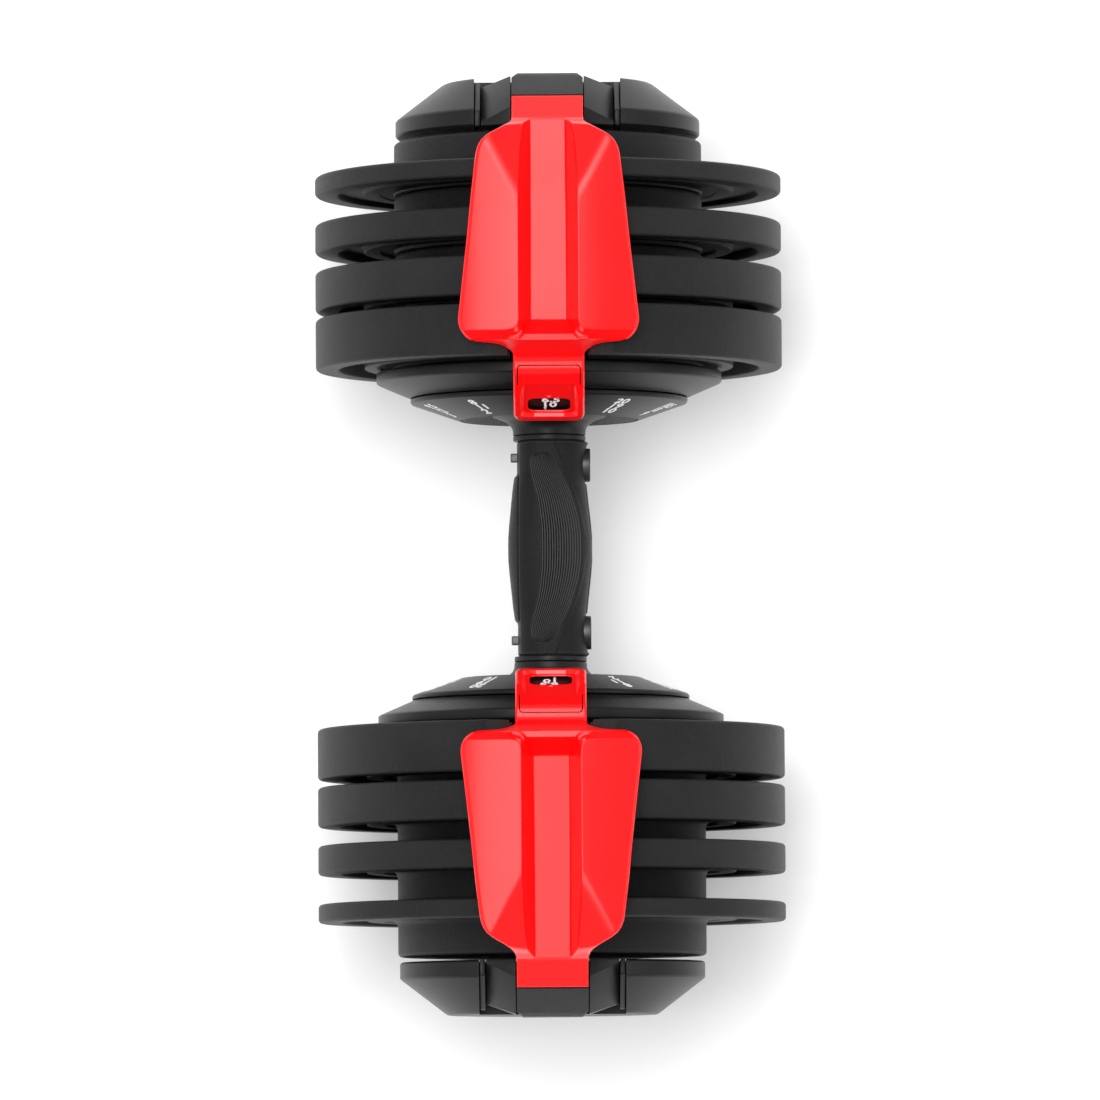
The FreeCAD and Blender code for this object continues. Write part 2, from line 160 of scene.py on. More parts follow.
# pale pink: print for the window's pointer mark, and a painted highlight for the strip on the ledge under the window
M_PINK = _grain_material("pink_print_and_painted_highlight", (0.84, 0.105, 0.115), (0.88, 0.13, 0.14), 0.4, 2500.0, 0.1, 0.00004)
M_POM = _grain_material("selector_nylon", (0.045, 0.045, 0.047), (0.06, 0.06, 0.062), 0.42, 2400.0, 0.2, 0.00006)
# painted highlight: the bars in the dial's bowl get a light grey far paler than the nylon, standing in for light on
# them
M_RIB = _grain_material("rib_nylon_painted_highlight", (0.15, 0.15, 0.152), (0.19, 0.19, 0.192), 0.42, 2400.0, 0.2, 0.00006, 0.2)
M_BUTTON = _grain_material("button_satin", (0.020, 0.020, 0.0205), (0.028, 0.028, 0.0285), 0.36, 2600.0, 0.15, 0.00005, pale_edges=0.2)


def _steel(name, base, rough, axis):
    m, nt, p = _mat(name)
    vec = _coords(nt)
    mp = nt.nodes.new("ShaderNodeMapping")
    s = [900.0, 900.0, 900.0]; s[axis] = 30.0
    mp.inputs["Scale"].default_value = s
    nt.links.new(vec, mp.inputs["Vector"])
    f = _noise(nt, mp.outputs["Vector"], 1.0, 3.0)
    col = _ramp(nt, f, [(0.3, tuple(0.86 * b for b in base)), (0.7, base)])
    nt.links.new(col, p.inputs["Base Color"])
    p.inputs["Metallic"].default_value = 1.0
    rr = nt.nodes.new("ShaderNodeMapRange")
    rr.inputs["To Min"].default_value = rough - 0.06; rr.inputs["To Max"].default_value = rough + 0.08
    nt.links.new(f, rr.inputs["Value"]); nt.links.new(rr.outputs["Result"], p.inputs["Roughness"])
    nt.links.new(_bump(nt, f, 0.2, 0.00005), p.inputs["Normal"])
    return m


M_STEEL = _steel("zinc_steel", (0.62, 0.62, 0.63), 0.30, 0)
M_WIRE = _steel("spring_wire", (0.66, 0.66, 0.68), 0.24, 1)

# ------------------------------------------------------------------ mesh tools
def rounded(points, segs=5):
    """(a, b[, radius]) corners of a closed outline -> list of 2-D points with the corners rounded."""
    out, n = [], len(points)
    for i in range(n):
        p = points[i]
        P = np.array(p[:2], float)
        r = p[2] if len(p) > 2 else 0.0
        if r <= 0:
            out.append(tuple(P)); continue
        A, B = np.array(points[i - 1][:2], float), np.array(points[(i + 1) % n][:2], float)
        u, w = (A - P) / np.linalg.norm(A - P), (B - P) / np.linalg.norm(B - P)
        c = float(np.clip(u @ w, -0.9999, 0.9999))
        half = math.acos(c) / 2
        t = r / math.tan(half)
        t = min(t, 0.49 * np.linalg.norm(A - P), 0.49 * np.linalg.norm(B - P))
        r = t * math.tan(half)
        mid = (u + w) / np.linalg.norm(u + w)
        C = P + mid * (r / math.sin(half))
        a0, a1 = P + u * t - C, P + w * t - C
        t0, t1 = math.atan2(a0[1], a0[0]), math.atan2(a1[1], a1[0])
        d = (t1 - t0 + math.pi) % (2 * math.pi) - math.pi
        for k in range(segs + 1):
            a = t0 + d * k / segs
            out.append((C[0] + r * math.cos(a), C[1] + r * math.sin(a)))
    res = []
    for q in out:
        if not res or (abs(q[0] - res[-1][0]) + abs(q[1] - res[-1][1])) > 1e-5:
            res.append(q)
    return res


def mesh_from(name, verts, faces):
    me = bpy.data.meshes.new(name)
    me.from_pydata([tuple(v) for v in verts], [], [tuple(f) for f in faces])
    me.validate()
    bm = bmesh.new(); bm.from_mesh(me)
    bmesh.ops.remove_doubles(bm, verts=bm.verts, dist=1e-5)
    bmesh.ops.dissolve_degenerate(bm, dist=1e-6, edges=bm.edges)
    bmesh.ops.recalc_face_normals(bm, faces=bm.faces)
    bm.to_mesh(me); bm.free()
    return me


def lathe(name, prof, n=240, phase=0.0):
    """Closed (x, r) outline turned about X; points with r = 0 become poles."""
    P = np.array(prof, float)
    ang = phase + np.arange(n) * 2 * math.pi / n
    verts = np.zeros((len(P), n, 3))
    verts[:, :, 0] = P[:, 0:1]
    verts[:, :, 1] = P[:, 1:2] * np.cos(ang)
    verts[:, :, 2] = P[:, 1:2] * np.sin(ang)
    m = len(P)
    faces = []
    for i in range(m):
        j = (i + 1) % m
        if P[i, 1] < 1e-9 and P[j, 1] < 1e-9:
            continue
        for k in range(n):
            l = (k + 1) % n
            faces.append((i * n + k, j * n + k, j * n + l, i * n + l))
    return mesh_from(name, verts.reshape(-1, 3), faces)


def prism(name, pts, axis, lo, hi):
    """Outline pts in the plane across axis (0: y,z  1: x,z  2: x,y), from lo to hi."""
    n = len(pts)
    verts = []
    for h in (lo, hi):
        for a, b in pts:
            verts.append({0: (h, a, b), 1: (a, h, b), 2: (a, b, h)}[axis])
    faces = [tuple(range(n)), tuple(range(2 * n - 1, n - 1, -1))]
    faces += [(i, (i + 1) % n, n + (i + 1) % n, n + i) for i in range(n)]
    return mesh_from(name, verts, faces)


def cyl_mesh(name, axis, r, lo, hi, c=(0, 0), n=64, r2=None):
    r2 = r if r2 is None else r2
    verts = []
    for h, rr in ((lo, r), (hi, r2)):
        for k in range(n):
            a = 2 * math.pi * k / n
            p, q = c[0] + rr * math.cos(a), c[1] + rr * math.sin(a)
            verts.append({0: (h, p, q), 1: (p, h, q), 2: (p, q, h)}[axis])
    faces = [tuple(range(n)), tuple(range(2 * n - 1, n - 1, -1))]
    faces += [(i, (i + 1) % n, n + (i + 1) % n, n + i) for i in range(n)]
    return mesh_from(name, verts, faces)


def boolean(me, cutters, op="DIFFERENCE"):
    """Exact boolean of a mesh with a list of meshes; everything in mm."""
    o = bpy.data.objects.new("tmp_base", me)
    scene.collection.objects.link(o)
    made = []
    for c in cutters:
        co = bpy.data.objects.new("tmp_cut", c)
        scene.collection.objects.link(co)
        md = o.modifiers.new("b", "BOOLEAN")
        md.operation = op; md.solver = "EXACT"; md.object = co
        made.append(co)
    dg = bpy.context.evaluated_depsgraph_get()
    out = bpy.data.meshes.new_from_object(o.evaluated_get(dg))
    for q in made + [o]:
        bpy.data.objects.remove(q)
    return out


def merged_mesh(name, meshes):
    bm = bmesh.new()
    for me in meshes:
        bm.from_mesh(me)
    out = bpy.data.meshes.new(name)
    bm.to_mesh(out); bm.free()
    return out


def bevelled(me, width, angle=35, segs=2):
    o = bpy.data.objects.new("tmp_bev", me)
    scene.collection.objects.link(o)
    md = o.modifiers.new("v", "BEVEL")
    md.width = width; md.segments = segs; md.limit_method = "ANGLE"; md.angle_limit = math.radians(angle)
    md.harden_normals = False
    dg = bpy.context.evaluated_depsgraph_get()
    out = bpy.data.meshes.new_from_object(o.evaluated_get(dg))
    bpy.data.objects.remove(o)
    return out


HALF = Matrix.Rotation(math.pi, 4, "Z")


def place(name, me, body, mat, replaces=(), turn=False, flip=False, sharp=32):
    """Puts a mesh in mm about the handle axis into the row frame, and lets it ride on a body."""
    me = me.copy(); me.name = name
    if turn:
        me.transform(HALF)
    if flip:
        me.transform(Matrix.Diagonal((-1, 1, 1, 1)))
        me.flip_normals()
    me.transform(Matrix.Translation((0, 0, AXIS_H)))
    me.transform(Matrix.Scale(0.001, 4))
    for p in me.polygons:
        p.use_smooth = True
    me.set_sharp_from_angle(angle=math.radians(sharp))
    me.materials.clear()
    me.materials.append(mat)
    o = bpy.data.objects.new(name, me)
    scene.collection.objects.link(o)
    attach(o, body)
    if replaces:
        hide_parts(*replaces)
    return o


# ------------------------------------------------------------------ camera, floor, light
cam = bpy.data.cameras.new("camera")
cam.lens = 376.3
cam.sensor_width = 36.0
cam.clip_end = 50.0
cam_o = bpy.data.objects.new("camera", cam)
scene.collection.objects.link(cam_o)
TH = math.radians(3.321)
fw = Vector((math.sin(TH), 0, -math.cos(TH)))
up0 = Vector((math.cos(TH), 0, math.sin(TH)))
rt0 = Vector((0, -1, 0))
ROLL = math.radians(0.36)
rt = rt0 * math.cos(ROLL) - up0 * math.sin(ROLL)
upv = up0 * math.cos(ROLL) + rt0 * math.sin(ROLL)
loc = Vector((-0.2860, 0.0, 4.9228 + 0.095))
cam_o.matrix_world = Matrix((
    (rt.x, upv.x, -fw.x, loc.x), (rt.y, upv.y, -fw.y, loc.y), (rt.z, upv.z, -fw.z, loc.z), (0, 0, 0, 1)))
scene.camera = cam_o

fm, fnt, fp = _mat("floor_pale")
fvec = _coords(fnt)
fcol = _ramp(fnt, _noise(fnt, fvec, 6.0, 2.0), [(0.3, (0.90, 0.90, 0.90)), (0.7, (0.93, 0.93, 0.93))])
fnt.links.new(fcol, fp.inputs["Base Color"])
fp.inputs["Roughness"].default_value = 0.85
fp.inputs["Specular IOR Level"].default_value = 0.1
me = bpy.data.meshes.new("floor")
S = 8.0
me.from_pydata([(-S, -S, 0), (S, -S, 0), (S, S, 0), (-S, S, 0)], [], [(0, 1, 2, 3)])
floor = bpy.data.objects.new("floor", me)
me.materials.append(fm)
scene.collection.objects.link(floor)

world = bpy.data.worlds.new("world")
scene.world = world
world.use_nodes = True
wb = world.node_tree.nodes["Background"]
wb.inputs["Color"].default_value = (1, 1, 1, 1)
wb.inputs["Strength"].default_value = 0.88


def area(name, pos, target, size, power, size_y=None, color=(1, 1, 1)):
    li = bpy.data.lights.new(name, "AREA")
    li.energy = power
    li.color = color
    li.shape = "RECTANGLE"
    li.size = size
    li.size_y = size_y or size
    o = bpy.data.objects.new(name, li)
    scene.collection.objects.link(o)
    o.location = pos
    d = Vector(target) - Vector(pos)
    o.rotation_euler = d.to_track_quat("-Z", "Y").to_euler()
    return o


area("key_far_side", (0.95, 0.0, 2.55), (0, 0, 0.1), 0.9, 17, 1.5)
area("soft_overhead", (0.20, 0.52, 2.85), (0.2, 0.52, 0.1), 1.6, 42, 1.14)
area("fill_left", (-0.3, 2.6, 1.5), (0, 0, 0.1), 1.6, 9, 1.2)
area("fill_right", (-0.2, -2.5, 1.7), (0, 0, 0.1), 1.6, 16, 1.2)
scene.view_settings.view_transform = "Standard"
scene.view_settings.look = "None"
scene.view_settings.exposure = 0.0
scene.view_settings.gamma = 1.0

# ------------------------------------------------------------------ plates
PLATE_X0 = [77.0, 102.0, 127.0, 152.0]
PLATE_RIM = [21.7, 17.0, 12.5, 8.0]
PLATE_WEB = [9.0, 8.0, 5.5, 3.4]


def plate_mesh(i):
    x0, t, web = PLATE_X0[i], PLATE_RIM[i], PLATE_WEB[i]
    x1 = x0 + t
    end = x0 + 24.6 if i < 3 else 174.6
    mid = (x0 + x1) / 2
    g0, g1 = mid - web / 2, mid + web / 2
    step = 1.6 if t > 9 else 1.0
    fil = 3.4 if end - x1 > 5 else 1.2
    prof = rounded([
        (x0, 0), (x0, 66.0, 0.4), (x0 + step, 66.2, 0.3), (x0 + step, 71.8, 0.3),
        (x0 + 0.6, 72.0, 0.5), (x0 + 0.6, 79.0, 0.7), (g0, 79.4, 1.0),
        (g0, 89.4, 1.0), (x0, 90.0, 0.8), (x0, 100.0, 1.6),
        (x1, 100.0, 1.6), (x1, 90.0, 0.8), (g1, 89.4, 1.0),
        (g1, 79.4, 1.0), (x1 - 0.6, 79.0, 0.7), (x1 - 0.6, 72.0, 0.5),
        (x1 - step, 71.8, 0.3), (x1 - step, 66.0, fil), (end, 66.0, 1.7), (end, 0)], 4)
    body = lathe("plate", prof, 256)
    zc = 16.5 - 13.9
    slot = [(16.5, 110.0)] + [(16.5 * math.cos(a), zc + 16.5 * math.sin(a)) for a in np.linspace(0, -math.pi, 33)] + [(-16.5, 110.0)]
    slotm = prism("slot", slot, 0, x0 - 2, end + 2)
    half = [(27.0 * math.cos(a), 27.0 * math.sin(a)) for a in np.linspace(0, -math.pi, 49)]
    p0, p1 = (x0 - 2, x0 + 9.0) if i else (end - 9.0, end + 2)
    cut = [slotm, prism("pocket", [(27.0, 110.0)] + half + [(-27.0, 110.0)], 0, p0, p1)]
    if i == 0:
        # rounded mouth of the slot, blended into the rim
        arc = [(28.5 + 12.0 * math.cos(a), 83.26 + 12.0 * math.sin(a)) for a in np.linspace(math.pi, math.radians(71.1), 21)]
        tail = [(33.2, 94.9), (33.6, 108.0)]
        right = arc + tail
        mouth = right + [(-y, z) for y, z in reversed(right)]
        cut.append(prism("mouth", mouth, 0, x0 - 2, p0 + 1.0))
    flat = prism("flat", [(-60, -110), (60, -110), (60, -AXIS_H), (-60, -AXIS_H)], 0, x0 - 5, end + 5)
    body = boolean(body, cut + [flat])
    t0, t1 = (x0 + 4.1, x0 + 9.3) if i else (end - 9.3, end - 4.1)
    tab = prism("tab", [(-3, -20.0), (3, -20.0), (3, -16.6), (-3, -16.6)], 0, t0, t1)
    return boolean(body, [tab], "UNION")


for i in range(4):
    pm = plate_mesh(i)
    for side, turn in (("right", False), ("left", True)):
        nm = "plate_%s_%d" % (side, i + 1)
        place("disc_weight_%s_%d" % (side, i + 1), pm, nm, M_PLATE, (nm,), turn=turn)

# ------------------------------------------------------------------ dial, with ribs and numbers
def dial_mesh():
    nr = 120
    n = nr * 12
    prof = rounded([
        (57.6, 10.05), (57.6, 24.9, 0.3), (59.2, 25.4, 0.3), (59.3, 32.6)], 3)
    wall = [(59.2 - 3.7 * t, 33.2 + 4.4 * t) for t in np.linspace(0, 1, 12)]
    cone = rounded([(55.5, 37.6), (55.3, 38.4, 0.25), (62.4, 58.8, 0.8), (63.2, 59.4, 0.3), (64.5, 59.4, 0.4), (64.5, 10.05), (57.6, 10.05)], 4)[1:-1]
    me = lathe("dial", prof + wall + cone, n)
    co = np.zeros(len(me.vertices) * 3, np.float32)
    me.vertices.foreach_get("co", co)
    co = co.reshape(-1, 3)
    r = np.hypot(co[:, 1], co[:, 2])
    a = np.arctan2(co[:, 2], co[:, 1])
    w = np.clip((0.5 + 0.5 * np.cos(a * nr)) * 1.6 - 0.3, 0, 1)
    # ribs on the inner cone, their ends showing as notches in its rim
    on = (co[:, 0] > 55.3) & (co[:, 0] < 59.3) & (r > 33.0) & (r < 38.1) & (co[:, 0] < 59.25 - (r - 33.2) * 0.72)
    push = np.where(on, 0.25 * w, 0)
    co[:, 0] += push * 0.7
    co[:, 1] += push * 0.7 * np.cos(a)
    co[:, 2] += push * 0.7 * np.sin(a)
    me.vertices.foreach_set("co", co.ravel())
    me.update()
    return me


DIALM = dial_mesh()


def dial_rib_mesh():
    """Fine raised bars on the inner wall of the dial's bowl, running up its slope."""
    verts, faces = [], []
    n = 180
    for k in range(n):
        a = 2 * math.pi * k / n
        for x, r in ((59.0, 33.45), (55.75, 37.3)):
            for lift in (-0.35, 0.42):
                for sgn in (-1, 1):
                    xx, rr, b = x - 0.765 * lift, r - 0.643 * lift, a + sgn * 0.30 / r
                    verts.append((xx, rr * math.cos(b), rr * math.sin(b)))
        o = 8 * k
        faces += [(o, o + 1, o + 3, o + 2), (o + 4, o + 6, o + 7, o + 5), (o, o + 4, o + 5, o + 1), (o + 2, o + 3, o + 7, o + 6), (o, o + 2, o + 6, o + 4), (o + 1, o + 5, o + 7, o + 3)]
    me = bpy.data.meshes.new("dial_ribs")
    me.from_pydata(verts, [], faces)
    bm = bmesh.new(); bm.from_mesh(me)
    bmesh.ops.recalc_face_normals(bm, faces=bm.faces)
    bm.to_mesh(me); bm.free()
    return me


DIALRIB = dial_rib_mesh()
ROWS = [["6.5", "20", "18.5", "17", "15.5", "14", "12.5", "11", "9.5", "8"],
        ["10", "19", "18", "17", "16", "15", "14", "13", "12", "11"],
        ["1", "10", "9", "8", "7", "6", "5", "4", "3", "2"]]


def number_mesh(txt, height):
    cu = bpy.data.curves.new("n", "FONT")
    cu.body = txt
    cu.size = height / 0.69
    cu.align_x = "LEFT"; cu.align_y = "CENTER"
    cu.extrude = 0.06
    cu.offset = 0.17
    cu.resolution_u = 5
    cu.space_character = 1.02
    o = bpy.data.objects.new("n", cu)
    scene.collection.objects.link(o)
    dg = bpy.context.evaluated_depsgraph_get()
    me = bpy.data.meshes.new_from_object(o.evaluated_get(dg))
    bpy.data.objects.remove(o)
    # centre the caps on the line
    zs = [v.co.y for v in me.vertices]
    mid = (max(zs) + min(zs)) / 2
    for v in me.vertices:
        v.co.y -= mid
    return me


def dial_numbers():
    """Three rings of numbers on the cone; a group is read with its top pointing outwards."""
    x_a, r_a, x_b, r_b = 55.3, 38.4, 62.4, 58.8
    sl = math.hypot(x_b - x_a, r_b - r_a)
    tx, tr = (x_b - x_a) / sl, (r_b - r_a) / sl      # up the slope
    nx, nr_ = -tr, tx                                # out of the cone, towards the handle
    parts = []
    for row, rad in enumerate((53.3, 48.4, 43.5)):
        for g in range(10):
            # groups follow each other by 36 degrees, the lowest setting at the top
            th = math.radians(36.0 * g)
            me = number_mesh(ROWS[row][g], 4.5)
            xc = x_a + (rad - r_a) * (x_b - x_a) / (r_b - r_a)
            M = np.zeros((len(me.vertices), 3))
            for k, v in enumerate(me.vertices):
                u, up_, out = v.co.x - 3.25, v.co.y, v.co.z + 0.03
                rr = rad + up_ * tr + out * nr_
                ph = u / rad
                xx = xc + up_ * tx + out * nx
                y = -rr * math.sin(ph)
                z = rr * math.cos(ph)
                M[k] = (xx, y * math.cos(th) - z * math.sin(th), y * math.sin(th) + z * math.cos(th))
            for k, v in enumerate(me.vertices):
                v.co = M[k]
            parts.append(me)
    return merged_mesh("numbers", parts)


NUMM = dial_numbers()
for side, turn in (("right", False), ("left", True)):
    place("dial_%s_ring" % side, DIALM, "dial_" + side, M_DIAL, ("selector_dial_" + side,), turn=turn, sharp=40)
    # the rib bars carry the painted highlight material
    place("dial_%s_ribs" % side, DIALRIB, "dial_" + side, M_RIB, (), turn=turn)
    place("dial_%s_numbers" % side, NUMM, "dial_" + side, M_MARK, (), turn=turn)

# ------------------------------------------------------------------ flange and hub collar
flange = lathe("flange", rounded([
    (65.0, 13.55), (65.0, 59.6, 0.3), (65.4, 60.2, 0.3), (71.0, 73.2, 1.0), (71.6, 74.0, 0.5), (76.0, 74.0, 1.1), (76.0, 13.55)], 5), 240)
flange = boolean(flange, [prism("seat", [(-15.15, 73.2), (15.15, 73.2), (15.15, 90), (-15.15, 90)], 0, 60, 80)])
collar = lathe("collar", rounded([
    (46.2, 10.02), (46.2, 15.5, 0.5), (48.35, 15.5, 0.25), (48.6, 14.9), (48.85, 15.5, 0.25),
    (52.0, 15.75, 4), (54.7, 18.6, 4.5), (56.7, 24.0, 0.8), (57.2, 24.4), (57.2, 10.02)], 8), 192)
for side, turn in (("right", False), ("left", True)):
    place("flange_cover_" + side, flange, "handle", M_SHELL, ("inner_flange_" + side,), turn=turn)
    place("collar_cover_" + side, collar, "handle", M_SHELL, ("hub_collar_" + side,), turn=turn)

# ------------------------------------------------------------------ end cap
def hull(name, points):
    bm = bmesh.new()
    for p in points:
        bm.verts.new(p)
    bmesh.ops.convex_hull(bm, input=bm.verts)
    bmesh.ops.dissolve_limit(bm, angle_limit=math.radians(0.5), verts=bm.verts, edges=bm.edges)
    me = bpy.data.meshes.new(name)
    bm.to_mesh(me); bm.free()
    return me


def facet_mesh():
    """Pointed facet between the centre block and the rib, on the +y side: a sloping main plane under a level triangle."""
    def plane_x(y, z):
        # main plane, solved for x at a given y and z
        p0, p1, p2 = np.array((184.5, 15.2, 64.3)), np.array((178.5, 28.2, 58.6)), np.array((200.0, 15.2, 41.0))
        n = np.cross(p1 - p0, p2 - p0)
        return p0[0] - (n[1] * (y - p0[1]) + n[2] * (z - p0[2])) / n[0]

    def top_z(y):
        return 64.8 - (y - 14.0) * 0.4333
    y0, y1 = 15.6, 28.2
    pts = []
    for y in (y0, y1):
        zt = min(top_z(y), 64.3)
        end = 199.9 + (y - y0) * (195.5 - 199.9) / (y1 - y0)
        pts += [(177.0, y, 14.0), (end, y, 14.0)]
        # where the main plane meets the end
        p0, p1, p2 = np.array((184.5, 15.2, 64.3)), np.array((178.5, 28.2, 58.6)), np.array((200.0, 15.2, 41.0))
        n = np.cross(p1 - p0, p2 - p0)
        ze = p0[2] - (n[0] * (end - p0[0]) + n[1] * (y - p0[1])) / n[2]
        pts += [(end, y, ze), (plane_x(y, zt), y, zt), (177.0, y, zt)]
    return hull("facet", pts)


def cap_mesh():
    B = 31.2
    base = lathe("cap", rounded([(177.0, 0), (177.0, 64.5), (177.8, 65.3, 0.4), (183.6, 65.3, 0.7), (184.5, 64.65, 0.5), (198.9, 45.9, 0.9), (199.6, 44.6, 0.6), (199.6, 0)], 5), 240)
    base = boolean(base, [prism("band", [(170, 15), (210, 15), (210, 80), (170, 80)], 1, -B, B)])
    prof = rounded([(177.0, 14.0), (177.0, 62.0), (189.1, 62.0), (189.1, 64.9, 0.3), (199.55, 45.25, 0.5), (200.9, 41.6, 0.6), (200.9, 14.0)], 3)
    c = prism("c", prof, 1, -15.2, 15.2)
    cut = []
    for s in (1, -1):
        pts = [(198.4, 15.3), (202.0, 11.55), (202.0, 15.3)]
        cut.append(prism("cc", pts if s > 0 else [(x, -y) for x, y in pts], 2, 10.0, 70.0))
    c = boolean(c, cut)
    fac, rib = [], []
    f = facet_mesh()
    g = f.copy(); g.transform(Matrix.Diagonal((1, -1, 1, 1))); g.flip_normals()
    for s in (1, -1):
        rib.append(prism("r", rounded([(177.0, 14.0), (177.0, 57.0), (183.6, 57.0, 1.0), (197.7, 32.0, 1.0), (197.7, 14.0)], 3), 1,
                         min(s * 28.6, s * 30.8), max(s * 28.6, s * 30.8)))
    parts = [c, f, g] + rib
    base = boolean(base, [cyl_mesh("bore", 0, 10.03, 170, 190.2), cyl_mesh("h", 0, 4.3, 180, 205), cyl_mesh("h2", 0, 8.2, 195.0, 205)])
    return base, [bevelled(p, 0.35, 25, 2) for p in parts]


cap_base, cap_parts = cap_mesh()
tongue_cut = prism("tg", [(180.0, 44.8), (184.2, 44.8), (184.2, 63.5), (180.0, 63.5)], 1, -10.1, 10.1)
cap_parts[0] = boolean(cap_parts[0], [tongue_cut])
for side, turn in (("right", False), ("left", True)):
    root = place("cap_shell_" + side, cap_base, "handle", M_SHELL, ("end_cap_" + side,), turn=turn)
    place("cap_block_" + side, cap_parts[0], "handle", M_CAPTEX, (), turn=turn)
    place("cap_facets_" + side, merged_mesh("fac", [cap_parts[1], cap_parts[2]]), "handle", M_SHELL, (), turn=turn)
    place("cap_ribs_" + side, merged_mesh("rib", [cap_parts[3], cap_parts[4]]), "handle", M_SHELL, (), turn=turn)

# ------------------------------------------------------------------ red bridge
def smin(a, b, k):
    h = np.clip(0.5 + 0.5 * (b - a) / k, 0, 1)
    return b * (1 - h) + a * h - k * h * (1 - h)


def smax(a, b, k):
    return -smin(-a, -b, k)


# outline of the wings seen from above: x, half width
OUT = np.array([(76.9, 15.1), (77.6, 15.3), (78.3, 15.8), (79.0, 16.6), (79.7, 17.9), (80.3, 19.4), (80.85, 21.2), (81.25, 23.4), (81.5, 25.8), (81.65, 28.2), (81.8, 30.4), (82.0, 31.9),
                (82.5, 33.2), (83.3, 34.5), (84.5, 35.8), (86.0, 36.8), (87.6, 37.5), (89.2, 37.95), (91.2, 38.05), (93.8, 37.8), (98.7, 37.2),
                (126.2, 34.1), (145.2, 32.2), (157.6, 30.7), (161.0, 30.2), (163.2, 29.6), (165.0, 28.8), (166.7, 27.6), (168.1, 26.1), (169.3, 24.4), (170.4, 22.5),
                (171.6, 20.4), (172.8, 18.5), (173.9, 17.0), (175.2, 15.9), (176.6, 15.3), (178.4, 15.1), (189.2, 15.1)])
SPINE = [(52.6, 35.5), (54.0, 44.5), (60.6, 62.2), (63.4, 66.6), (70.4, 77.2), (77.2, 77.6), (82.3, 102.0)]
RECESS = [(54.4, 40.6), (56.2, 45.0), (66.6, 71.5)]          # sunk face of the window: ledge, foot, crease


